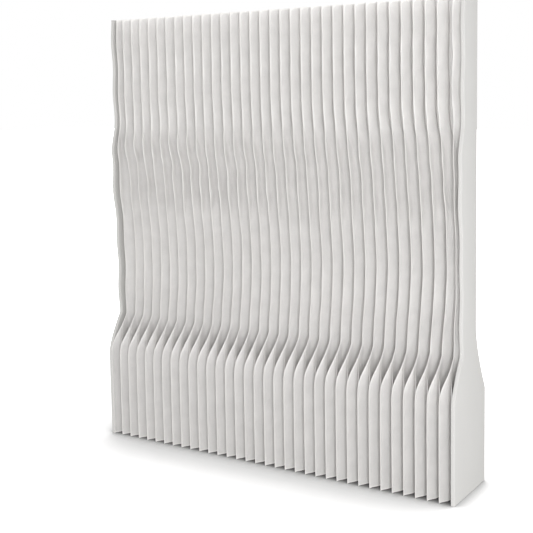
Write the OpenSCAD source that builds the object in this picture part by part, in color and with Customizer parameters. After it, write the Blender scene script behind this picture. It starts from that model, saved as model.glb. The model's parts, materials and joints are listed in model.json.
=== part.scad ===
// Expanding paper screen: an upright honeycomb of die-cut paper leaves between two end boards.
// X runs along the screen, Y is its depth with the front at -Y, and Z is up.
// The origin is on the floor, midway along the screen and midway through the depth of its base.

/* [Overall] */
// Length of the screen as it stands, over both end boards
screen_l = 1430; // [1000:10:2000]
// Height of the screen
screen_h = 1600; // [1300:10:2000]
// Depth of the base
base_d = 260; // [200:5:340]

/* [Outline of every leaf] */
// Height of the straight part of the base, at the front
base_h = 325; // [200:5:450]
// Height of the front shoulder, where the base draws in to the waist
shoulder_h = 143; // [60:1:200]
// How far the shoulder draws in from the front of the base
shoulder_in = 68; // [20:1:80]
// How late the shoulder draws in: 1 for a straight slope
shoulder_bend = 1.4; // [1:0.1:3]
// Height at which the chest starts to swell out of the waist
chest_z = 740; // [600:5:900]
// Height over which the chest swells out
chest_h = 270; // [60:5:300]
// How far the chest stands out from the waist
chest_out = 14; // [0:1:30]
// Height at which the front draws in again, above the chest
neck_z = 1085; // [1000:5:1200]
// Height over which it draws in
neck_h = 125; // [60:5:200]
// How far it draws in
neck_in = 20; // [0:1:30]
// Half height of the ripples along the front, above the shoulder
ripple = 3; // [0:0.5:6]
// Height of one ripple
ripple_h = 190; // [120:5:400]
// Height of the straight part of the base, at the back
back_base_h = 325; // [200:5:450]
// Height of the concave flare at the back
flare_h = 215; // [100:5:300]
// How soon the flare draws in: 1 for a straight slope
flare_bend = 1.5; // [1:0.1:3]
// How far the straight upper back lies behind the middle of the base
upper_back = 48; // [45:1:90]

/* [Paper core] */
// Number of cells along the screen; the list of nodes grows with it
cells = 34; // [10:2:34]
// Thickness of the paper
leaf_t = 0.4; // [0.2:0.1:0.8]
// Width of a glued land, where two leaves are joined
land_w = 14; // [8:1:24]
// Thickness of the glue line between two leaves
glue_t = 0.2; // [0.1:0.05:0.3]

/* [End boards] */
// Thickness of an end board, wrapped
board_t = 12; // [8:0.5:20]
// Thickness of the paper wrap and of the liner
wrap_t = 0.8; // [0.5:0.1:1.5]
// Diameter of a closing magnet
magnet_d = 20; // [10:1:30]
// Thickness of a closing magnet
magnet_t = 3; // [2:0.5:5]
// Number of closing magnets in each end board
magnets = 4; // [2:1:8]
// Height of the lowest magnet, and depth of the highest below the top
magnet_end_h = 140; // [60:5:300]
// Clearance around a magnet in its pocket
magnet_gap = 0.15; // [0.1:0.05:0.4]

/* [Hidden] */
// Points along the curved stretches of the outline
shoulder_steps = 8;
upper_steps = 34;
flare_steps = 8;
// Facets of a round magnet and its pocket
$fn = 48;

// One cell is this long, and a leaf spans half of it
pitch = (screen_l - 2 * board_t) / cells;
pairs = cells - 1;
inner_l = screen_l / 2 - board_t;

// The lands lie a quarter of the base's depth apart: a leaf meets its partner at the
// front, middle and back of the base, and its other neighbour at the two lands between.
land_pitch = base_d / 4;
near_x = glue_t / 2;
far_x = pitch / 2 - glue_t / 2 - leaf_t;

waist_z = base_h + shoulder_h;

paper = "#dddbd6";
board_paper = "#d9d8d6";
board_core = "#b08d62";
nickel = "#b9bcc0";

// Distance of the plane of pair k, from the middle of the screen
function fold_x(k) = -inner_l + k * pitch;

function pair_name(k) = str("leaf_pair_", k < 10 ? "0" : "", k);

// 0 below t = 0, 1 above t = 1, and an even S between them
function ease(t) = let (u = min(max(t, 0), 1)) u * u * (3 - 2 * u);

// Front of the outline at height z
function front_y(z) =
    -base_d / 2
    + shoulder_in * pow(min(max((z - base_h) / shoulder_h, 0), 1), shoulder_bend)
    - chest_out * ease((z - chest_z) / chest_h)
    + neck_in * ease((z - neck_z) / neck_h)
    - ripple * (1 - cos(360 * max(z - waist_z, 0) / ripple_h));

// Back of the outline at height z
function back_y(z) =
    let (u = min(max((z - back_base_h) / flare_h, 0), 1))
    upper_back + (base_d / 2 - upper_back) * pow(1 - u, flare_bend);

// Heights of n points spread evenly from z0 to z1, without the first
function rise(z0, z1, n) = [for (i = [1 : n]) z0 + (z1 - z0) * i / n];

front_zs = concat(
    [0, base_h],
    rise(base_h, waist_z, shoulder_steps),
    rise(waist_z, screen_h, upper_steps)
);
back_zs = concat(
    [0, back_base_h],
    rise(back_base_h, back_base_h + flare_h, flare_steps),
    [screen_h]
);

// The outline shared by leaves and boards, drawn in by inset on every side
module outline(inset = 0) {
    front = [for (z = front_zs) [front_y(z) + inset, z]];
    back = [for (i = [len(back_zs) - 1 : -1 : 0]) [back_y(back_zs[i]) - inset, back_zs[i]]];
    intersection() {
        polygon(concat(front, back));
        translate([-base_d / 2, inset])
            square([base_d, screen_h - 2 * inset]);
    }
}

// A slab of that outline, t thick, standing at x
module slab(x, t, inset = 0) {
    translate([x, 0, 0])
        rotate([90, 0, 90])
            linear_extrude(t)
                outline(inset);
}

// A leaf's line seen from above, from front to back, on its inner face. Lands with an even
// number lie at the plane of the pair, and the others reach out half a cell.
function leaf_line() = [
    for (i = [-2 : 2], end = [-1, 1])
        if (abs(i) < 2 || sign(i) != end)
            [i % 2 == 0 ? near_x : far_x, i * land_pitch + end * land_w / 2]
];
function leaf_front() = [[near_x, -base_d / 2]];
function leaf_back() = [[near_x, base_d / 2]];

// One creased leaf on the +X side of the plane of its pair, cut to the outline
module leaf() {
    inner = concat(leaf_front(), leaf_line(), leaf_back());
    outer = [for (i = [len(inner) - 1 : -1 : 0]) inner[i] + [leaf_t, 0]];
    intersection() {
        linear_extrude(screen_h)
            polygon(concat(inner, outer));
        slab(0, pitch / 2);
    }
}

// Two leaves glued to each other at the front, middle and back of the base
module leaf_pair(k) {
    color(paper)
        translate([fold_x(k), 0, 0])
            for (side = [0, 1])
                mirror([side, 0, 0])
                    leaf();
}

// The single leaf that joins the core to an end board, at the left end
module end_leaf() {
    color(paper)
        translate([fold_x(0), 0, 0])
            leaf();
}

// Places the magnets, or their pockets, in a board at the left end
module at_magnets() {
    step = (screen_h - 2 * magnet_end_h) / (magnets - 1);
    for (i = [0 : magnets - 1])
        translate([-screen_l / 2 + wrap_t, 0, magnet_end_h + i * step])
            rotate([0, 90, 0])
                children();
}

// Fibreboard, with a blind pocket for each magnet in its outer face
module board_core() {
    color(board_core)
        difference() {
            slab(-screen_l / 2 + wrap_t, board_t - 2 * wrap_t, wrap_t);
            at_magnets()
                translate([0, 0, -1])
                    cylinder(d = magnet_d + 2 * magnet_gap, h = magnet_t + magnet_gap + 1);
        }
}

// Paper wrap over the outer face and round all the edges
module board_cover() {
    color(board_paper)
        difference() {
            slab(-screen_l / 2, board_t);
            slab(-screen_l / 2 + wrap_t, board_t, wrap_t);
        }
}

// Paper glued over the inner face, inside the turned edges of the wrap
module board_liner() {
    color(board_paper)
        slab(-inner_l - wrap_t, wrap_t, wrap_t);
}

// Discs that pull the closed screen together, and the ends of two screens to each other
module board_magnets() {
    color(nickel)
        at_magnets()
            translate([0, 0, magnet_gap])
                cylinder(d = magnet_d, h = magnet_t);
}

// The right end is the left one turned over
module right_end() {
    mirror([1, 0, 0])
        children();
}

board_cover();  // left_board_cover
board_core();  // left_board_core
board_liner();  // left_board_liner
board_magnets();  // left_magnets
end_leaf();  // left_end_leaf
for (k = [1 : pairs])
    leaf_pair(k);
right_end() end_leaf();  // right_end_leaf
right_end() board_liner();  // right_board_liner
right_end() board_core();  // right_board_core
right_end() board_cover();  // right_board_cover
right_end() board_magnets();  // right_magnets
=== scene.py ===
"""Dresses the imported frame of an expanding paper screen: creased paper leaves, wrapped end boards and a
plain studio."""

import json
import math

import bmesh
import bpy
from bpy.props import FloatProperty, FloatVectorProperty, IntProperty, PointerProperty
from mathutils import Euler, Matrix, Vector


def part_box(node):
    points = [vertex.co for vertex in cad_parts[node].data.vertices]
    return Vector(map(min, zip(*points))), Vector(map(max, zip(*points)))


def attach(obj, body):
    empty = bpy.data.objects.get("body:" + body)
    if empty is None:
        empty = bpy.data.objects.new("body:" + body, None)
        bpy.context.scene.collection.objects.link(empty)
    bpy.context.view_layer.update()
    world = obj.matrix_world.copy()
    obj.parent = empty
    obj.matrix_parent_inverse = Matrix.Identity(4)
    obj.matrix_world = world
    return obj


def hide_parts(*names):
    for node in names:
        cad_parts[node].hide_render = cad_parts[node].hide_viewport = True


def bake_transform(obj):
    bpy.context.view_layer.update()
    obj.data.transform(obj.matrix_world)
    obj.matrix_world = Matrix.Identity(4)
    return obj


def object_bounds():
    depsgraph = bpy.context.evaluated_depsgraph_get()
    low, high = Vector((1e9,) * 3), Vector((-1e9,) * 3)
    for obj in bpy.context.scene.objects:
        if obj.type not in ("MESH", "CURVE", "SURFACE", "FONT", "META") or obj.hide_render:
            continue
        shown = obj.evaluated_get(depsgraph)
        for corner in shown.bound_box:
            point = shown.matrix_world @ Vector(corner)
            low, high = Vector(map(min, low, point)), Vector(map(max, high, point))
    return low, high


bl_info = {
    "name": "Expanding Paper Screen",
    "version": (1, 0, 0),
    "blender": (4, 5, 0),
    "location": "3D View > Sidebar > Paper Screen",
    "description": "Builds the leaves, end boards and studio of an expanding paper screen",
    "category": "Object",
}

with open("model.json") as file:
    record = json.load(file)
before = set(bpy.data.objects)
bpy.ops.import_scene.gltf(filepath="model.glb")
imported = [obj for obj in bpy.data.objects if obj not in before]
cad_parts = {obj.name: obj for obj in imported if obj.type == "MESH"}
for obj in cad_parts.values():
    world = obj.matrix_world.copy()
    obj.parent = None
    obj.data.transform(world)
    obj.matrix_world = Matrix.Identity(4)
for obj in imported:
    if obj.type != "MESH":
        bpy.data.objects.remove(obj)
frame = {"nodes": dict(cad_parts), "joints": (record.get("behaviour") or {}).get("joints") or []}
CAD_LOW, CAD_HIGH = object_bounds()
BOARD_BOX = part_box("left_board_cover")
LINER_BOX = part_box("left_board_liner")
MM = 0.001


def linear(hex_colour):
    """Turns an sRGB hex colour into linear red, green and blue."""
    parts = [int(hex_colour[start : start + 2], 16) / 255 for start in (1, 3, 5)]
    return [part / 12.92 if part <= 0.04045 else ((part + 0.055) / 1.055) ** 2.4 for part in parts]


def number_of(name, description, default, **settings):
    return FloatProperty(name=name, description=description, default=default, **settings)


def length_of(name, description, default):
    return number_of(name, description, default, unit="LENGTH", subtype="DISTANCE", precision=4)


def colour_of(name, description, hex_colour):
    return FloatVectorProperty(
        name=name, description=description, default=linear(hex_colour), subtype="COLOR", size=3, min=0, max=1
    )


class PaperScreenSizes(bpy.types.PropertyGroup):
    """Sizes of the screen; all but the edge radius are as in the model's source"""

    screen_l: length_of("Length", "Length at rest, over both end boards", CAD_HIGH.x - CAD_LOW.x)
    screen_h: length_of("Height", "Height of leaves and boards", CAD_HIGH.z - CAD_LOW.z)
    base_d: length_of("Base Depth", "Depth of the base", CAD_HIGH.y - CAD_LOW.y)
    base_h: length_of("Base Height", "Height of the straight base at the front", 325 * MM)
    shoulder_h: length_of("Shoulder Height", "Height over which the base draws in", 143 * MM)
    shoulder_in: length_of("Shoulder Depth", "How far the shoulder draws in", 68 * MM)
    shoulder_bend: number_of(
        "Shoulder Bend", "How late the shoulder draws in, 1 for a straight slope", 1.4, min=1
    )
    chest_z: length_of("Chest Start", "Height at which the chest starts to swell", 740 * MM)
    chest_h: length_of("Chest Height", "Height over which the chest swells out", 270 * MM)
    chest_out: length_of("Chest Depth", "How far the chest stands out of the waist", 14 * MM)
    neck_z: length_of("Neck Start", "Height at which the front draws in again", 1085 * MM)
    neck_h: length_of("Neck Height", "Height over which it draws in", 125 * MM)
    neck_in: length_of("Neck Depth", "How far it draws in", 20 * MM)
    ripple: length_of("Ripple Depth", "Half height of the ripples along the front", 3 * MM)
    ripple_h: length_of("Ripple Height", "Height of one ripple", 190 * MM)
    back_base_h: length_of("Back Base Height", "Height of the straight base at the back", 325 * MM)
    flare_h: length_of("Flare Height", "Height of the concave flare at the back", 215 * MM)
    flare_bend: number_of("Flare Bend", "How soon the flare draws in, 1 for a straight slope", 1.5, min=1)
    upper_back: length_of("Upper Back", "Distance of the upper back from the middle", 48 * MM)
    cells: IntProperty(
        name="Cells", description="Cells along the screen", default=len(frame["joints"]), min=2
    )
    leaf_t: length_of("Paper Thickness", "Thickness of one leaf", 0.4 * MM)
    land_w: length_of("Land Width", "Width of a glued land", 14 * MM)
    glue_t: length_of("Glue Line", "Gap between two glued leaves", 0.2 * MM)
    board_t: length_of(
        "Board Thickness", "Thickness of a wrapped end board", BOARD_BOX[1].x - BOARD_BOX[0].x
    )
    wrap_t: length_of(
        "Wrap Thickness", "Thickness of the paper round a board", LINER_BOX[1].x - LINER_BOX[0].x
    )
    edge_r: length_of("Edge Radius", "Rounding of the wrapped edges of a board", 1.6 * MM)


class PaperScreenForming(bpy.types.PropertyGroup):
    """How the paper gives between its glued lands"""

    wall_curve: number_of(
        "Wall Curve", "0 for straight walls, 1 for S-shaped ones", 0.6, min=0, max=1, subtype="FACTOR"
    )
    bulge: number_of(
        "Bulge", "How far walls swell into the open cells, as a share of half a cell", 0.22, min=0, max=0.25
    )
    sway: length_of("Sway", "Shift that neighbouring leaves share", 3 * MM)
    crumple: length_of("Crumple", "Shift of each ridge by itself", 4 * MM)
    bow: length_of("Bow", "Bulge of the walls between their lands", 4 * MM)
    lean: length_of("Lean", "How far leaves lean, to the right up to the chest, to the left above", 18 * MM)
    seed: number_of("Seed", "Place in the random patterns", 3.0)


class PaperScreenFinishes(bpy.types.PropertyGroup):
    """Colours of the finishes"""

    leaf: colour_of("Leaf Paper", "Uncoated paper of the leaves", "#f5f4f3")
    # Painted highlight: the whiter colour drawn along the cut edges of the leaves
    cut: colour_of("Cut Edge", "Paper along a fresh die-cut edge", "#fdfcfb")
    board: colour_of("Board Paper", "Smooth paper round the end boards", "#c9c8c6")
    fibre: colour_of("Fibreboard", "Core of the end boards", "#b08d62")
    nickel: colour_of("Nickel", "Plating of the magnets", "#c4c2bb")
    floor: colour_of("Floor", "Pale studio floor", "#f4f4f3")


class PaperScreenStudio(bpy.types.PropertyGroup):
    """Camera and lights of the studio"""

    position: FloatVectorProperty(
        name="Camera Position",
        description="Place of the camera",
        default=(1.913, -3.036, 1.307),
        unit="LENGTH",
        subtype="XYZ",
    )
    yaw: number_of("Yaw", "Turn of the camera to its left", math.radians(33.0), subtype="ANGLE")
    pitch: number_of("Pitch", "Tilt of the camera, up is positive", math.radians(-6.06), subtype="ANGLE")
    roll: number_of("Roll", "Roll of the camera", math.radians(-1.01), subtype="ANGLE")
    lens: number_of("Lens", "Focal length in millimetres for a 36 mm sensor", 68.56, min=1)
    shift: number_of("Shift", "Vertical shift of the picture, as a share of its width", -0.12)
    sky: number_of("Sky", "Strength of the even light from all round", 0.8, min=0)
    key: number_of("Key", "Power of the softbox behind the camera", 92, min=0, unit="POWER")
    side: number_of("Side", "Power of the softbox to the right of the screen", 22, min=0, unit="POWER")


MATH = "ShaderNodeMath"
RANGE = "ShaderNodeMapRange"
NOISE = "ShaderNodeTexNoise"


def add(tree, kind, links=None, **settings):
    """Adds a node, sets its settings, and links or fills its inputs. A node given for an input stands for
    its first output, and a tuple of nodes is linked to one input."""
    node = tree.nodes.new(kind)
    for name, value in settings.items():
        setattr(node, name, value)
    for key, value in (links or {}).items():
        several = isinstance(value, tuple) and isinstance(value[0], bpy.types.Node)
        for source in value if several else (value,):
            if isinstance(source, bpy.types.Node):
                source = source.outputs[0]
            if isinstance(source, bpy.types.NodeSocket):
                tree.links.new(source, node.inputs[key])
            else:
                node.inputs[key].default_value = source
    return node


def new_material(name):
    """A material with an empty tree, its output node, and the place of each point on the object."""
    material = bpy.data.materials.new(name)
    material.use_nodes = True
    tree = material.node_tree
    tree.nodes.clear()
    out = add(tree, "ShaderNodeOutputMaterial")
    return material, tree, out, add(tree, "ShaderNodeTexCoord").outputs["Object"]


# Most of a noise lies between these values
USUAL = {"From Min": 0.3, "From Max": 0.7}


def leaf_paper(finishes):
    """Uncoated wood-free paper, creased and die-cut. Matt, and lit through by what falls on its other side,
    faintly cloudy where the fibres lie unevenly, with a soft tooth, and with a painted highlight along the
    cut edges."""
    material, tree, out, place = new_material("Uncoated die-cut paper")
    # Clouds of uneven fibre, about 45 mm across
    clouds = add(tree, NOISE, {"Vector": place, "Scale": 1 / (45 * MM), "Detail": 3.0, "Roughness": 0.55})
    # Paper tooth is 0.3 mm; it is drawn 2.5 mm wide so that it shows from a few metres away
    tooth = add(tree, NOISE, {"Vector": place, "Scale": 1 / (2.5 * MM), "Detail": 2.0})
    shade = add(tree, RANGE, {"Value": clouds, **USUAL, "To Min": 0.965, "To Max": 1.02})
    grain = add(tree, RANGE, {"Value": tooth, **USUAL, "To Min": 0.985, "To Max": 1.015})
    tone = add(tree, MATH, {0: shade, 1: grain}, operation="MULTIPLY")
    ground = add(tree, "ShaderNodeVectorMath", {0: tuple(finishes.leaf), "Scale": tone}, operation="SCALE")
    # Painted highlight along each cut edge, drawn 4 mm deep so that it shows as a bright line
    cut = add(tree, "ShaderNodeAttribute", attribute_name="cut_edge").outputs["Fac"]
    cut_highlight = add(
        tree, RANGE, {"Value": cut, "From Min": 3.0 * MM, "From Max": 5.0 * MM, "To Min": 1.0, "To Max": 0.0}
    )
    colour = add(
        tree, "ShaderNodeMix", {0: cut_highlight, 6: ground, 7: (*finishes.cut, 1)}, data_type="RGBA"
    ).outputs[2]
    rough = add(tree, RANGE, {"Value": tooth, **USUAL, "To Min": 0.82, "To Max": 0.96})
    bump = add(tree, "ShaderNodeBump", {"Strength": 0.35, "Distance": 0.15 * MM, "Height": tooth})
    skin = add(
        tree,
        "ShaderNodeBsdfPrincipled",
        {"Base Color": colour, "Roughness": rough, "Normal": bump, "IOR": 1.45, "Specular IOR Level": 0.25},
    )
    # The thin sheet sends about half of the light that it scatters out of its other side
    glow = add(tree, "ShaderNodeBsdfTranslucent", {"Color": colour, "Normal": bump})
    sheet = add(tree, "ShaderNodeMixShader", {0: 0.5, 1: skin, 2: glow})
    tree.links.new(sheet.outputs[0], out.inputs["Surface"])
    return material


def board_paper(finishes):
    """Smooth calendered paper glued over board. Even and faintly silky, with a fine tooth and hardly any
    clouds."""
    material, tree, out, place = new_material("Calendered paper on board")
    # Clouds about 160 mm across
    clouds = add(tree, NOISE, {"Vector": place, "Scale": 1 / (160 * MM), "Detail": 2.0, "Roughness": 0.5})
    # Tooth of 0.2 mm, drawn 2 mm wide so that it shows
    tooth = add(tree, NOISE, {"Vector": place, "Scale": 1 / (2 * MM), "Detail": 2.0})
    shade = add(tree, RANGE, {"Value": clouds, **USUAL, "To Min": 0.99, "To Max": 1.01})
    ground = add(tree, "ShaderNodeVectorMath", {0: tuple(finishes.board), "Scale": shade}, operation="SCALE")
    rough = add(tree, RANGE, {"Value": tooth, **USUAL, "To Min": 0.6, "To Max": 0.72})
    bump = add(tree, "ShaderNodeBump", {"Strength": 0.2, "Distance": 0.08 * MM, "Height": tooth})
    skin = add(
        tree,
        "ShaderNodeBsdfPrincipled",
        {"Base Color": ground, "Roughness": rough, "Normal": bump, "IOR": 1.45, "Specular IOR Level": 0.3},
    )
    tree.links.new(skin.outputs[0], out.inputs["Surface"])
    return material


def fibreboard(finishes):
    """Pressed wood fibre, as cut. Brown, dull and flecked with darker and lighter fibres."""
    material, tree, out, place = new_material("Medium density fibreboard")
    # Fibres about 1.5 mm long
    flecks = add(tree, NOISE, {"Vector": place, "Scale": 1 / (1.5 * MM), "Detail": 3.0, "Roughness": 0.7})
    shade = add(tree, RANGE, {"Value": flecks, **USUAL, "To Min": 0.85, "To Max": 1.15})
    ground = add(tree, "ShaderNodeVectorMath", {0: tuple(finishes.fibre), "Scale": shade}, operation="SCALE")
    bump = add(tree, "ShaderNodeBump", {"Strength": 0.5, "Distance": 0.1 * MM, "Height": flecks})
    skin = add(tree, "ShaderNodeBsdfPrincipled", {"Base Color": ground, "Roughness": 0.85, "Normal": bump})
    tree.links.new(skin.outputs[0], out.inputs["Surface"])
    return material


def nickel_plate(finishes):
    """Nickel plate on a sintered magnet. Bright and slightly warm, with a fine satin from the grain under
    the plate."""
    material, tree, out, place = new_material("Nickel plate")
    # Grain of 0.1 mm, drawn 0.6 mm wide so that it shows
    grain = add(tree, NOISE, {"Vector": place, "Scale": 1 / (0.6 * MM), "Detail": 2.0})
    rough = add(tree, RANGE, {"Value": grain, **USUAL, "To Min": 0.22, "To Max": 0.38})
    skin = add(
        tree,
        "ShaderNodeBsdfPrincipled",
        {"Base Color": (*finishes.nickel, 1), "Metallic": 1.0, "Roughness": rough},
    )
    tree.links.new(skin.outputs[0], out.inputs["Surface"])
    return material


# Inputs that the leaf and the cell share, with the property that fills each
SHARED = {
    "Length": "screen_l",
    "Height": "screen_h",
    "Base Depth": "base_d",
    "Base Height": "base_h",
    "Shoulder Height": "shoulder_h",
    "Shoulder Depth": "shoulder_in",
    "Shoulder Bend": "shoulder_bend",
    "Chest Start": "chest_z",
    "Chest Height": "chest_h",
    "Chest Depth": "chest_out",
    "Neck Start": "neck_z",
    "Neck Height": "neck_h",
    "Neck Depth": "neck_in",
    "Ripple Depth": "ripple",
    "Ripple Height": "ripple_h",
    "Back Base Height": "back_base_h",
    "Flare Height": "flare_h",
    "Flare Bend": "flare_bend",
    "Upper Back": "upper_back",
    "Paper Thickness": "leaf_t",
    "Land Width": "land_w",
    "Glue Line": "glue_t",
    "Board Thickness": "board_t",
    "Wall Curve": "wall_curve",
    "Bulge": "bulge",
    "Sway": "sway",
    "Crumple": "crumple",
    "Bow": "bow",
    "Lean": "lean",
    "Seed": "seed",
}
COLUMNS = 41  # points of a leaf from front to back
ROWS = 121  # points of a leaf from bottom to top
WELD = 0.02 * MM  # points closer than this are one
SHARP = math.radians(40)  # edges that bend more than this aren't smoothed

# For each way in which the paper gives: its wave lengths along X, Y and Z, and its detail
GIVE_WAVES = {
    "Sway": ((420 * MM, 300 * MM, 170 * MM), 1.0),
    "Crumple": ((60 * MM, 90 * MM, 100 * MM), 3.0),
    "Bow": ((500 * MM, 400 * MM, 120 * MM), 1.0),
}
SEED_STEP = 7.0  # sets the places of those three patterns apart
WIDE = {"From Min": 0.25, "From Max": 0.75}  # the part of each noise that is used
# The crumple is strongest on the left, from 300 mm off the middle, and weakest on the right
CRUMPLE_BY_SIDE = {"From Min": -300 * MM, "From Max": 300 * MM, "To Min": 1.6, "To Max": 0.5}
PAIR_LAND_GIVE = 0.3  # how much a land in the pair's own plane gives, against one between the pairs
FREE_AT = 60 * MM  # distance from an end board at which the paper gives freely
LEAN_AT = {"left": 60 * MM, "right": 45 * MM}  # distance from each board at which leaves lean freely
LEAN_SLANT = -0.05  # share of X added to the height, so that the lean turns over higher on the right
RIPPLE_SHIFT = 0.6  # shift of the leaves to the right, as a share of how far a ripple stands out
# Strength of the give, by share of the height: little at the base, most in the chest
GIVE_BY_HEIGHT = (
    (0.0, 0.05),
    (0.2, 0.12),
    (0.3, 0.5),
    (0.45, 0.4),
    (0.56, 0.6),
    (0.63, 1.0),
    (0.7, 0.7),
    (0.77, 0.35),
    (1.0, 0.15),
)
# The lean by share of the height: 0 for fully to the left, 0.5 for upright, 1 for fully to the right
LEAN_BY_HEIGHT = (
    (0.0, 0.5),
    (0.2, 0.5),
    (0.3, 0.62),
    (0.4, 0.95),
    (0.45, 1.0),
    (0.58, 0.9),
    (0.655, 0.78),
    (0.7, 0.5),
    (0.745, 0.15),
    (0.79, 0.02),
    (1.0, 0.0),
)


def new_tree(name, inputs):
    """A geometry tree with float inputs of those names, and its input and output nodes."""
    tree = bpy.data.node_groups.new(name, "GeometryNodeTree")
    for title in inputs:
        tree.interface.new_socket(title, in_out="INPUT", socket_type="NodeSocketFloat")
    tree.interface.new_socket("Geometry", in_out="OUTPUT", socket_type="NodeSocketGeometry")
    return tree, add(tree, "NodeGroupInput").outputs, add(tree, "NodeGroupOutput")


def front_of_leaf(tree, size, z):
    """The front of the outline at height z, and how far its ripples stand out there."""
    waist = add(tree, MATH, {0: size["Base Height"], 1: size["Shoulder Height"]}, operation="ADD")
    shoulder = add(tree, RANGE, {"Value": z, "From Min": size["Base Height"], "From Max": waist})
    shoulder = add(tree, MATH, {0: shoulder, 1: size["Shoulder Bend"]}, operation="POWER")
    shoulder = add(tree, MATH, {0: shoulder, 1: size["Shoulder Depth"]}, operation="MULTIPLY")
    step = {}
    for part in ("Chest", "Neck"):
        start = size[f"{part} Start"]
        top = add(tree, MATH, {0: start, 1: size[f"{part} Height"]}, operation="ADD")
        step[part] = add(
            tree,
            RANGE,
            {"Value": z, "From Min": start, "From Max": top, "To Max": size[f"{part} Depth"]},
            interpolation_type="SMOOTHSTEP",
        )
    above = add(tree, MATH, {0: z, 1: waist}, operation="SUBTRACT")
    above = add(tree, MATH, {0: above, 1: 0.0}, operation="MAXIMUM")
    turn = add(tree, MATH, {0: above, 1: size["Ripple Height"]}, operation="DIVIDE")
    turn = add(tree, MATH, {0: turn, 1: 2 * math.pi}, operation="MULTIPLY")
    wave = add(tree, MATH, {0: turn}, operation="COSINE")
    wave = add(tree, MATH, {0: 1.0, 1: wave}, operation="SUBTRACT")
    ripple = add(tree, MATH, {0: wave, 1: size["Ripple Depth"]}, operation="MULTIPLY")
    front = add(tree, MATH, {0: size["Base Depth"], 1: -0.5, 2: shoulder}, operation="MULTIPLY_ADD")
    front = add(tree, MATH, {0: front, 1: step["Chest"]}, operation="SUBTRACT")
    front = add(tree, MATH, {0: front, 1: step["Neck"]}, operation="ADD")
    return add(tree, MATH, {0: front, 1: ripple}, operation="SUBTRACT"), ripple


def back_of_leaf(tree, size, z):
    """The back of the outline at height z, with a concave flare down to the base."""
    start = size["Back Base Height"]
    top = add(tree, MATH, {0: start, 1: size["Flare Height"]}, operation="ADD")
    flare = add(tree, RANGE, {"Value": z, "From Min": start, "From Max": top, "To Min": 1.0, "To Max": 0.0})
    flare = add(tree, MATH, {0: flare, 1: size["Flare Bend"]}, operation="POWER")
    half_depth = add(tree, MATH, {0: size["Base Depth"], 1: 0.5}, operation="MULTIPLY")
    spread = add(tree, MATH, {0: half_depth, 1: size["Upper Back"]}, operation="SUBTRACT")
    return add(tree, MATH, {0: flare, 1: spread, 2: size["Upper Back"]}, operation="MULTIPLY_ADD")


def across_cell(tree, size, y):
    """How far a leaf stands across its half of the cell at depth y, from 0 on a land of the pair's own plane
    to 1 on a land between the pairs, and a value that is 1 midway between the lands and 0 on them."""
    land_pitch = add(tree, MATH, {0: size["Base Depth"], 1: 0.25}, operation="MULTIPLY")
    half_land = add(tree, MATH, {0: size["Land Width"], 1: 0.5}, operation="MULTIPLY")
    far_land = add(tree, MATH, {0: land_pitch, 1: half_land}, operation="SUBTRACT")
    reach = add(tree, MATH, {0: y, 1: land_pitch}, operation="PINGPONG")
    wall = {"Value": reach, "From Min": half_land, "From Max": far_land}
    straight = add(tree, RANGE, wall)
    curved = add(tree, RANGE, wall, interpolation_type="SMOOTHSTEP")
    across = add(tree, "ShaderNodeMix", {0: size["Wall Curve"], 2: straight, 3: curved})
    middle = add(tree, MATH, {0: 1.0, 1: across}, operation="SUBTRACT")
    middle = add(tree, MATH, {0: middle, 1: across}, operation="MULTIPLY")
    middle = add(tree, MATH, {0: middle, 1: 4.0}, operation="MULTIPLY")
    # Walls swell into the cells that open to the front, and at the back into those that open to the back
    from_middle = add(tree, MATH, {0: y}, operation="ABSOLUTE")
    outer = add(tree, MATH, {0: from_middle, 1: land_pitch}, operation="SUBTRACT")
    swell = add(tree, MATH, {0: outer}, operation="SIGN")
    swell = add(tree, MATH, {0: swell, 1: size["Bulge"]}, operation="MULTIPLY")
    return add(tree, MATH, {0: swell, 1: middle, 2: across}, operation="MULTIPLY_ADD"), middle


def leaf_places(tree, size, across):
    """Where a leaf's inner face stands along X, and the middle of the glue line where it is on a land. What
    is worked out from the second is the same for two leaves where they are glued."""
    near = add(tree, MATH, {0: size["Glue Line"], 1: 0.5}, operation="MULTIPLY")
    half_cell = add(tree, MATH, {0: size["Pitch"], 1: 0.5}, operation="MULTIPLY")
    far = add(tree, MATH, {0: half_cell, 1: near}, operation="SUBTRACT")
    far = add(tree, MATH, {0: far, 1: size["Paper Thickness"]}, operation="SUBTRACT")
    own = add(tree, RANGE, {"Value": across, "To Min": near, "To Max": far})
    shared = add(tree, MATH, {0: across, 1: half_cell}, operation="MULTIPLY")
    return [
        add(tree, MATH, {0: size["Side"], 1: distance, 2: size["Plane"]}, operation="MULTIPLY_ADD")
        for distance in (own, shared)
    ]


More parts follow.
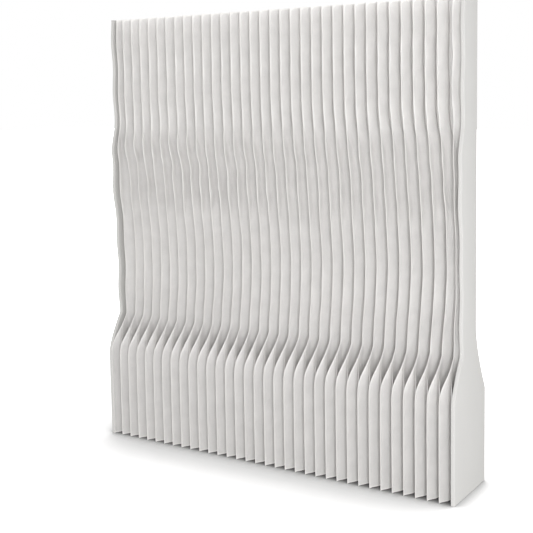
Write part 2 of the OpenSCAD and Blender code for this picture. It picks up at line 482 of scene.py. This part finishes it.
def give_of_leaf(tree, size, place, across, middle, ripple):
    """How far the paper shifts along X at a place: a sway that neighbours share, a crumple of each ridge, a
    bow of the walls, a lean, and a shift with the ripples."""
    x, y, z = place
    here = add(tree, "ShaderNodeCombineXYZ", {0: x, 1: y, 2: z})
    give = {}
    for number, (title, (wave_lengths, detail)) in enumerate(GIVE_WAVES.items(), 1):
        per_wave = [1 / length for length in wave_lengths]
        waves = add(tree, "ShaderNodeVectorMath", {0: here, 1: per_wave}, operation="MULTIPLY")
        seed = add(tree, MATH, {0: size["Seed"], 1: SEED_STEP * number}, operation="ADD")
        noise = add(
            tree, NOISE, {"Vector": waves, "W": seed, "Scale": 1.0, "Detail": detail}, noise_dimensions="4D"
        )
        limit = add(tree, MATH, {0: size[title], 1: -1.0}, operation="MULTIPLY")
        give[title] = add(tree, RANGE, {"Value": noise, **WIDE, "To Min": limit, "To Max": size[title]})
    by_side = add(tree, RANGE, {"Value": x, **CRUMPLE_BY_SIDE})
    bow = add(tree, MATH, {0: give["Bow"], 1: middle}, operation="MULTIPLY")
    shift = add(tree, MATH, {0: give["Crumple"], 1: by_side, 2: give["Sway"]}, operation="MULTIPLY_ADD")
    firm = add(tree, RANGE, {"Value": across, "To Min": PAIR_LAND_GIVE})
    shift = add(tree, MATH, {0: shift, 1: firm, 2: bow}, operation="MULTIPLY_ADD")

    # Nothing gives at the end boards
    inner = add(tree, MATH, {0: size["Length"], 1: 0.5}, operation="MULTIPLY")
    inner = add(tree, MATH, {0: inner, 1: size["Board Thickness"]}, operation="SUBTRACT")
    from_middle = add(tree, MATH, {0: x}, operation="ABSOLUTE")
    to_board = add(tree, MATH, {0: inner, 1: from_middle}, operation="SUBTRACT")
    free = add(tree, RANGE, {"Value": to_board, "From Max": FREE_AT}, interpolation_type="SMOOTHSTEP")
    slant = add(tree, MATH, {0: x, 1: LEAN_SLANT, 2: z}, operation="MULTIPLY_ADD")
    by_height = []
    for height, points in ((z, GIVE_BY_HEIGHT), (slant, LEAN_BY_HEIGHT)):
        up = add(tree, MATH, {0: height, 1: size["Height"]}, operation="DIVIDE")
        node = add(tree, "ShaderNodeFloatCurve", {"Value": up})
        curve = node.mapping.curves[0]
        curve.points[0].location = points[0]
        curve.points[1].location = points[-1]
        for point in points[1:-1]:
            curve.points.new(*point)
        node.mapping.update()
        by_height.append(node)
    shift = add(tree, MATH, {0: shift, 1: free}, operation="MULTIPLY")
    shift = add(tree, MATH, {0: shift, 1: by_height[0]}, operation="MULTIPLY")

    # The leaves lean one way and then the other above the base, and come upright again at the boards
    lean = add(tree, RANGE, {"Value": by_height[1], "To Min": -1.0, "To Max": 1.0})
    lean = add(tree, MATH, {0: lean, 1: size["Lean"]}, operation="MULTIPLY")
    for side, reach in ((1.0, LEAN_AT["left"]), (-1.0, LEAN_AT["right"])):
        distance = add(tree, MATH, {0: x, 1: side, 2: inner}, operation="MULTIPLY_ADD")
        part = add(tree, RANGE, {"Value": distance, "From Max": reach})
        lean = add(tree, MATH, {0: lean, 1: part}, operation="MULTIPLY")
    shift = add(tree, MATH, {0: shift, 1: lean}, operation="ADD")
    # Where the outline ripples forwards the leaves shift to the right as well
    forward = add(tree, MATH, {0: ripple, 1: RIPPLE_SHIFT}, operation="MULTIPLY")
    return add(tree, MATH, {0: forward, 1: free, 2: shift}, operation="MULTIPLY_ADD")


def leaf_tree():
    """One creased leaf: a grid cut to the outline, folded between its lands, and given the thickness of
    paper. How far it gives, and how far each point lies from the cut, are stored with it."""
    tree, size, out = new_tree("Creased leaf", ["Plane", "Side", "Pitch", *SHARED])
    grid = add(
        tree,
        "GeometryNodeMeshGrid",
        {"Size X": size["Base Depth"], "Size Y": size["Height"], "Vertices X": COLUMNS, "Vertices Y": ROWS},
    )
    flat = add(tree, "ShaderNodeSeparateXYZ", {0: add(tree, "GeometryNodeInputPosition")}).outputs
    z = add(tree, MATH, {0: size["Height"], 1: 0.5, 2: flat[1]}, operation="MULTIPLY_ADD")
    front, ripple = front_of_leaf(tree, size, z)
    back = back_of_leaf(tree, size, z)
    # The grid's columns stop at the outline
    y = add(tree, MATH, {0: flat[0], 1: back}, operation="MINIMUM")
    y = add(tree, MATH, {0: y, 1: front}, operation="MAXIMUM")
    across, middle = across_cell(tree, size, y)
    x, shared_x = leaf_places(tree, size, across)
    give = give_of_leaf(tree, size, (shared_x, y, z), across, middle, ripple)

    cut = add(tree, MATH, {0: y, 1: front}, operation="SUBTRACT")
    from_back = add(tree, MATH, {0: back, 1: y}, operation="SUBTRACT")
    from_top = add(tree, MATH, {0: size["Height"], 1: z}, operation="SUBTRACT")
    for distance in (from_back, from_top, z):
        cut = add(tree, MATH, {0: cut, 1: distance}, operation="MINIMUM")
    sheet = grid
    for title, value in (("cut_edge", cut), ("give", give)):
        stored = {"Geometry": sheet, "Name": title, "Value": value}
        sheet = add(tree, "GeometryNodeStoreNamedAttribute", stored, data_type="FLOAT", domain="POINT")
    folded = add(tree, "ShaderNodeCombineXYZ", {0: x, 1: y, 2: z})
    sheet = add(tree, "GeometryNodeSetPosition", {"Geometry": sheet, "Position": folded})
    sheet = add(tree, "GeometryNodeMergeByDistance", {"Geometry": sheet, "Distance": WELD})

    # Thickness, away from the plane of the pair, with both faces outwards
    thickness = add(tree, MATH, {0: size["Side"], 1: size["Paper Thickness"]}, operation="MULTIPLY")
    offset = add(tree, "ShaderNodeCombineXYZ", {0: thickness})
    raised = add(tree, "GeometryNodeExtrudeMesh", {"Mesh": sheet, "Offset": offset, "Individual": False})
    under = add(tree, "GeometryNodeFlipFaces", {"Mesh": sheet})
    shell = add(tree, "GeometryNodeJoinGeometry", {0: (raised, under)})
    shell = add(tree, "GeometryNodeMergeByDistance", {"Geometry": shell, "Distance": WELD})
    left = add(tree, "FunctionNodeCompare", {0: size["Side"], 1: 0.0}, operation="LESS_THAN")
    shell = add(tree, "GeometryNodeFlipFaces", {"Mesh": shell, "Selection": left})
    tree.links.new(shell.outputs[0], out.inputs[0])
    return tree


def cell_tree(leaf, material):
    """One cell: the two leaves between the planes of two neighbouring pairs."""
    tree, size, out = new_tree("Paper cell", ["Left Plane", "Pitch", *SHARED])
    right_plane = add(tree, MATH, {0: size["Left Plane"], 1: size["Pitch"]}, operation="ADD").outputs[0]
    leaves = []
    for plane, side in ((size["Left Plane"], 1.0), (right_plane, -1.0)):
        group = add(tree, "GeometryNodeGroup", node_tree=leaf)
        tree.links.new(plane, group.inputs["Plane"])
        group.inputs["Side"].default_value = side
        for title in ("Pitch", *SHARED):
            tree.links.new(size[title], group.inputs[title])
        leaves.append(group)
    both = add(tree, "GeometryNodeJoinGeometry", {0: tuple(leaves)})
    smooth = add(tree, "GeometryNodeSetShadeSmooth", {"Geometry": both, "Shade Smooth": True})
    angle = add(tree, "GeometryNodeInputMeshEdgeAngle")
    sharp = add(tree, "FunctionNodeCompare", {0: angle, 1: SHARP}, operation="GREATER_THAN")
    edges = {"Geometry": smooth, "Selection": sharp, "Shade Smooth": False}
    smooth = add(tree, "GeometryNodeSetShadeSmooth", edges, domain="EDGE")
    real = add(tree, "GeometryNodeRealizeInstances", {"Geometry": smooth})
    dressed = add(tree, "GeometryNodeSetMaterial", {"Geometry": real, "Material": material})
    tree.links.new(dressed.outputs[0], out.inputs[0])
    return tree


def grown(name, tree, values):
    """The mesh that a geometry tree grows with those values, as a plain object."""
    seed = bpy.data.objects.new(name + "_seed", bpy.data.meshes.new(name + "_seed"))
    bpy.context.scene.collection.objects.link(seed)
    modifier = seed.modifiers.new("Grow", "NODES")
    modifier.node_group = tree
    for item in tree.interface.items_tree:
        if item.in_out == "INPUT":
            modifier[item.identifier] = values[item.name]
    depsgraph = bpy.context.evaluated_depsgraph_get()
    mesh = bpy.data.meshes.new_from_object(
        seed.evaluated_get(depsgraph), preserve_all_data_layers=True, depsgraph=depsgraph
    )
    seed.modifiers.remove(modifier)
    bpy.data.objects.remove(seed)
    mesh.name = name
    piece = bpy.data.objects.new(name, mesh)
    bpy.context.scene.collection.objects.link(piece)
    return piece


def pair_name(number):
    return f"leaf_pair_{number:02d}"


class PAPERSCREEN_OT_core(bpy.types.Operator):
    """Build the honeycomb of creased leaves, one piece for each cell"""

    bl_idname = "paper_screen.core"
    bl_label = "Build Paper Core"

    def execute(self, context):
        sizes = context.scene.paper_screen_sizes
        forming = context.scene.paper_screen_forming
        material = leaf_paper(context.scene.paper_screen_finishes)
        tree = cell_tree(leaf_tree(), material)
        shared = {
            title: getattr(sizes if hasattr(sizes, prop) else forming, prop) for title, prop in SHARED.items()
        }
        inner_l = sizes.screen_l / 2 - sizes.board_t
        pitch = 2 * inner_l / sizes.cells
        for cell in range(1, sizes.cells + 1):
            left = -inner_l + (cell - 1) * pitch
            piece = grown(f"paper_cell_{cell:02d}", tree, {"Left Plane": left, "Pitch": pitch, **shared})
            before = pair_name(cell - 1) if cell > 1 else "left_end"
            after = pair_name(cell) if cell < sizes.cells else "right_end"
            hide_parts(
                before if cell > 1 else "left_end_leaf",
                after if cell < sizes.cells else "right_end_leaf",
            )
            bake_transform(piece)
            # The paper gives only after the cell is built straight, and by the same shift for two glued
            # leaves, so glued lands stay together
            give = piece.data.attributes["give"]
            for vertex, step in zip(piece.data.vertices, give.data):
                vertex.co.x += step.value
            piece.data.attributes.remove(give)
        return {"FINISHED"}


def front_y(sizes, z):
    """Front of the outline at height z."""

    def ease(share):
        share = min(max(share, 0), 1)
        return share * share * (3 - 2 * share)

    waist_z = sizes.base_h + sizes.shoulder_h
    shoulder = min(max((z - sizes.base_h) / sizes.shoulder_h, 0), 1)
    return (
        -sizes.base_d / 2
        + sizes.shoulder_in * shoulder**sizes.shoulder_bend
        - sizes.chest_out * ease((z - sizes.chest_z) / sizes.chest_h)
        + sizes.neck_in * ease((z - sizes.neck_z) / sizes.neck_h)
        - sizes.ripple * (1 - math.cos(2 * math.pi * max(z - waist_z, 0) / sizes.ripple_h))
    )


def back_y(sizes, z):
    """Back of the outline at height z."""
    flare = 1 - min(max((z - sizes.back_base_h) / sizes.flare_h, 0), 1)
    return sizes.upper_back + (sizes.base_d / 2 - sizes.upper_back) * flare**sizes.flare_bend


WRAP_STEPS = 160  # steps of a board's outline from bottom to top
WRAP_ARC = 4  # steps round each soft edge
WRAP_SHARP = math.radians(50)  # edges of the wrap that bend more than this aren't smoothed
WRAP_HOLLOW = 0.4  # how far in the hollow of the wrap starts, as a share of the rim's radius


def board_wrap(name, sizes, side, material):
    """The paper tray round a board: outer face, soft edges and turned rim. Side is -1 for the left end."""
    outer_x = sizes.screen_l / 2
    inner_x = outer_x - sizes.board_t
    radius = sizes.edge_r
    lip = sizes.wrap_t / 2
    turns = [math.pi / 2 * step / WRAP_ARC for step in range(WRAP_ARC + 1)]
    # Inset from the outline and distance along X, from the outer face round the rim to the hollow
    path = [(radius * (1 - math.sin(turn)), outer_x - radius * (1 - math.cos(turn))) for turn in turns]
    path += [(lip * (1 - math.cos(turn)), inner_x + lip * (1 - math.sin(turn))) for turn in turns]
    path += [(sizes.wrap_t, inner_x + lip * WRAP_HOLLOW), (sizes.wrap_t, outer_x - sizes.wrap_t)]
    mesh = bmesh.new()
    rings = []
    for inset, x in path:
        height = sizes.screen_h - 2 * inset
        heights = [inset + height * step / WRAP_STEPS for step in range(WRAP_STEPS + 1)]
        front = [mesh.verts.new((side * x, front_y(sizes, z) + inset, z)) for z in heights]
        back = [mesh.verts.new((side * x, back_y(sizes, z) - inset, z)) for z in heights]
        rings.append((front, back))
    for ring, following in zip(rings, rings[1:]):
        for line, next_line in zip(ring, following):
            for i in range(WRAP_STEPS):
                mesh.faces.new((line[i], line[i + 1], next_line[i + 1], next_line[i]))
        for i in (0, WRAP_STEPS):
            mesh.faces.new((ring[0][i], ring[1][i], following[1][i], following[0][i]))
    for front, back in (rings[0], rings[-1]):
        for i in range(WRAP_STEPS):
            mesh.faces.new((front[i], front[i + 1], back[i + 1], back[i]))
    bmesh.ops.recalc_face_normals(mesh, faces=mesh.faces)
    for face in mesh.faces:
        face.smooth = True
    for edge in mesh.edges:
        edge.smooth = edge.calc_face_angle(0) < WRAP_SHARP
    data = bpy.data.meshes.new(name)
    mesh.to_mesh(data)
    mesh.free()
    data.materials.append(material)
    piece = bpy.data.objects.new(name, data)
    bpy.context.scene.collection.objects.link(piece)
    return piece


class PAPERSCREEN_OT_boards(bpy.types.Operator):
    """Wrap the end boards in paper, and finish what lies inside them"""

    bl_idname = "paper_screen.boards"
    bl_label = "Build End Boards"

    def execute(self, context):
        sizes = context.scene.paper_screen_sizes
        finishes = context.scene.paper_screen_finishes
        paper = board_paper(finishes)
        inside = {"board_liner": paper, "board_core": fibreboard(finishes), "magnets": nickel_plate(finishes)}
        for end, side in (("left", -1), ("right", 1)):
            wrap = board_wrap(f"{end}_board_wrap", sizes, side, paper)
            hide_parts(f"{end}_board_cover")
            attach(wrap, f"{end}_end")
            for node, material in inside.items():
                for slot in frame["nodes"][f"{end}_{node}"].material_slots:
                    slot.material = material
        return {"FINISHED"}


# How bright the camera sees the floor: 1.75 up to 1.5 m from the middle of the screen, 3 from 6 m on
FLOOR_SEEN = {"From Min": 1.5, "From Max": 6.0, "To Min": 1.75, "To Max": 3.0}
# Shade painted into what the camera sees of the floor, as reach, direction and depth: a painted dark line
# under the leaves, and a painted soft fall of shade in front of them
FLOOR_PAINTED_SHADES = ((50 * MM, (0, 0, 1), 0.8), (360 * MM, (0.05, 0.4, 0.92), 0.75))
FLOOR_HALF = 30  # half width of the floor
FLOOR_DROP = 0.2 * MM  # how far it lies under the screen
SOFTBOX_SIZE = 1.4  # both are square
SOFTBOX_AIM = Vector((0, 0, 0.7))  # a point a little below the middle of the screen
KEY_PLACE = (2.6, -3.6, 0.6)
SIDE_PLACE = (4.6, -1.6, 0.7)
SENSOR = 36  # width of the camera's sensor, in millimetres


def floor_paint(finishes):
    """Matt studio paint. The camera sees it brighter than it lights the screen, so that it goes white and
    keeps the screen's shadow; painted shade darkens what the camera sees of it next to the screen."""
    material, tree, out, place = new_material("Painted studio floor")
    distance = add(tree, "ShaderNodeVectorMath", {0: place}, operation="LENGTH").outputs["Value"]
    seen = add(tree, RANGE, {"Value": distance, **FLOOR_SEEN})
    # Painted shade, from ambient occlusion, in what the camera sees of the floor next to the screen
    for reach, towards, depth in FLOOR_PAINTED_SHADES:
        normal = add(tree, "ShaderNodeCombineXYZ", dict(enumerate(towards)))
        corner = add(tree, "ShaderNodeAmbientOcclusion", {"Distance": reach, "Normal": normal}, samples=16)
        dim = add(tree, MATH, {0: corner.outputs["AO"], 1: depth}, operation="POWER")
        seen = add(tree, MATH, {0: seen, 1: dim}, operation="MULTIPLY")
    camera = add(tree, "ShaderNodeLightPath").outputs["Is Camera Ray"]
    colour = add(
        tree,
        "ShaderNodeMix",
        {0: camera, 6: (*finishes.floor, 1), 7: seen},
        data_type="RGBA",
        clamp_result=False,
    )
    paint = add(tree, "ShaderNodeBsdfDiffuse", {"Color": colour.outputs[2]})
    tree.links.new(paint.outputs[0], out.inputs["Surface"])
    return material


def studio_sky(strength):
    """Even light from all round. A ray from the camera, off a gloss or through a material meets it at
    full white."""
    world = bpy.data.worlds.new("Studio")
    world.use_nodes = True
    tree = world.node_tree
    tree.nodes.clear()
    ray = add(tree, "ShaderNodeLightPath").outputs
    seen = add(tree, MATH, {0: ray["Is Camera Ray"], 1: ray["Is Glossy Ray"]}, operation="MAXIMUM")
    seen = add(tree, MATH, {0: seen, 1: ray["Is Transmission Ray"]}, operation="MAXIMUM")
    level = add(tree, RANGE, {"Value": seen, "To Min": strength})
    sky = add(tree, "ShaderNodeBackground", {"Color": (1, 1, 1, 1), "Strength": level})
    tree.links.new(sky.outputs[0], add(tree, "ShaderNodeOutputWorld").inputs["Surface"])
    return world


class PAPERSCREEN_OT_stage(bpy.types.Operator):
    """Set the floor, the soft light and the camera"""

    bl_idname = "paper_screen.stage"
    bl_label = "Build Stage"

    def execute(self, context):
        scene = context.scene
        studio = scene.paper_screen_studio
        scene.view_settings.view_transform = "Standard"
        scene.world = studio_sky(studio.sky)

        data = bpy.data.meshes.new("studio_floor")
        signs = ((-1, -1), (1, -1), (1, 1), (-1, 1))
        corners = [(x * FLOOR_HALF, y * FLOOR_HALF, -FLOOR_DROP) for x, y in signs]
        data.from_pydata(corners, [], [(0, 1, 2, 3)])
        data.materials.append(floor_paint(scene.paper_screen_finishes))
        floor = bpy.data.objects.new("studio_floor", data)
        scene.collection.objects.link(floor)

        for name, power, place in (
            ("Key softbox", studio.key, KEY_PLACE),
            ("Side softbox", studio.side, SIDE_PLACE),
        ):
            softbox = bpy.data.lights.new(name, "AREA")
            softbox.shape = "RECTANGLE"
            softbox.size = SOFTBOX_SIZE
            softbox.size_y = SOFTBOX_SIZE
            softbox.energy = power
            lamp = bpy.data.objects.new(name, softbox)
            lamp.location = place
            lamp.rotation_euler = (SOFTBOX_AIM - lamp.location).to_track_quat("-Z", "Y").to_euler()
            scene.collection.objects.link(lamp)

        lens = bpy.data.cameras.new("Camera")
        lens.lens = studio.lens
        lens.sensor_width = SENSOR
        lens.shift_y = studio.shift
        lens.clip_start = 0.05
        lens.clip_end = 100
        camera = bpy.data.objects.new("Camera", lens)
        turn = Euler((math.pi / 2 + studio.pitch, 0, studio.yaw)).to_matrix()
        turn = turn @ Matrix.Rotation(studio.roll, 3, "Z")
        camera.matrix_world = Matrix.Translation(studio.position) @ turn.to_4x4()
        scene.collection.objects.link(camera)
        scene.camera = camera
        return {"FINISHED"}


class PAPERSCREEN_PT_panel(bpy.types.Panel):
    """Lists the sizes, finishes and steps of the paper screen"""

    bl_idname = "PAPERSCREEN_PT_panel"
    bl_label = "Paper Screen"
    bl_space_type = "VIEW_3D"
    bl_region_type = "UI"
    bl_category = "Paper Screen"

    def draw(self, context):
        for name, cls in GROUPS.items():
            group = getattr(context.scene, name)
            box = self.layout.box()
            box.label(text=cls.__name__.removeprefix("PaperScreen"))
            for prop in group.bl_rna.properties.keys():
                if prop not in {"rna_type", "name"}:
                    box.prop(group, prop)
        for operator in OPERATORS:
            self.layout.operator(operator.bl_idname)


OPERATORS = (PAPERSCREEN_OT_core, PAPERSCREEN_OT_boards, PAPERSCREEN_OT_stage)
GROUPS = {
    "paper_screen_sizes": PaperScreenSizes,
    "paper_screen_forming": PaperScreenForming,
    "paper_screen_finishes": PaperScreenFinishes,
    "paper_screen_studio": PaperScreenStudio,
}


def register():
    for cls in (*GROUPS.values(), *OPERATORS, PAPERSCREEN_PT_panel):
        bpy.utils.register_class(cls)
    for name, group in GROUPS.items():
        setattr(bpy.types.Scene, name, PointerProperty(type=group))


def unregister():
    for name in GROUPS:
        delattr(bpy.types.Scene, name)
    for cls in reversed((*GROUPS.values(), *OPERATORS, PAPERSCREEN_PT_panel)):
        bpy.utils.unregister_class(cls)


def main():
    register()
    bpy.ops.paper_screen.core()
    bpy.ops.paper_screen.boards()
    bpy.ops.paper_screen.stage()


if __name__ == "__main__":
    main()
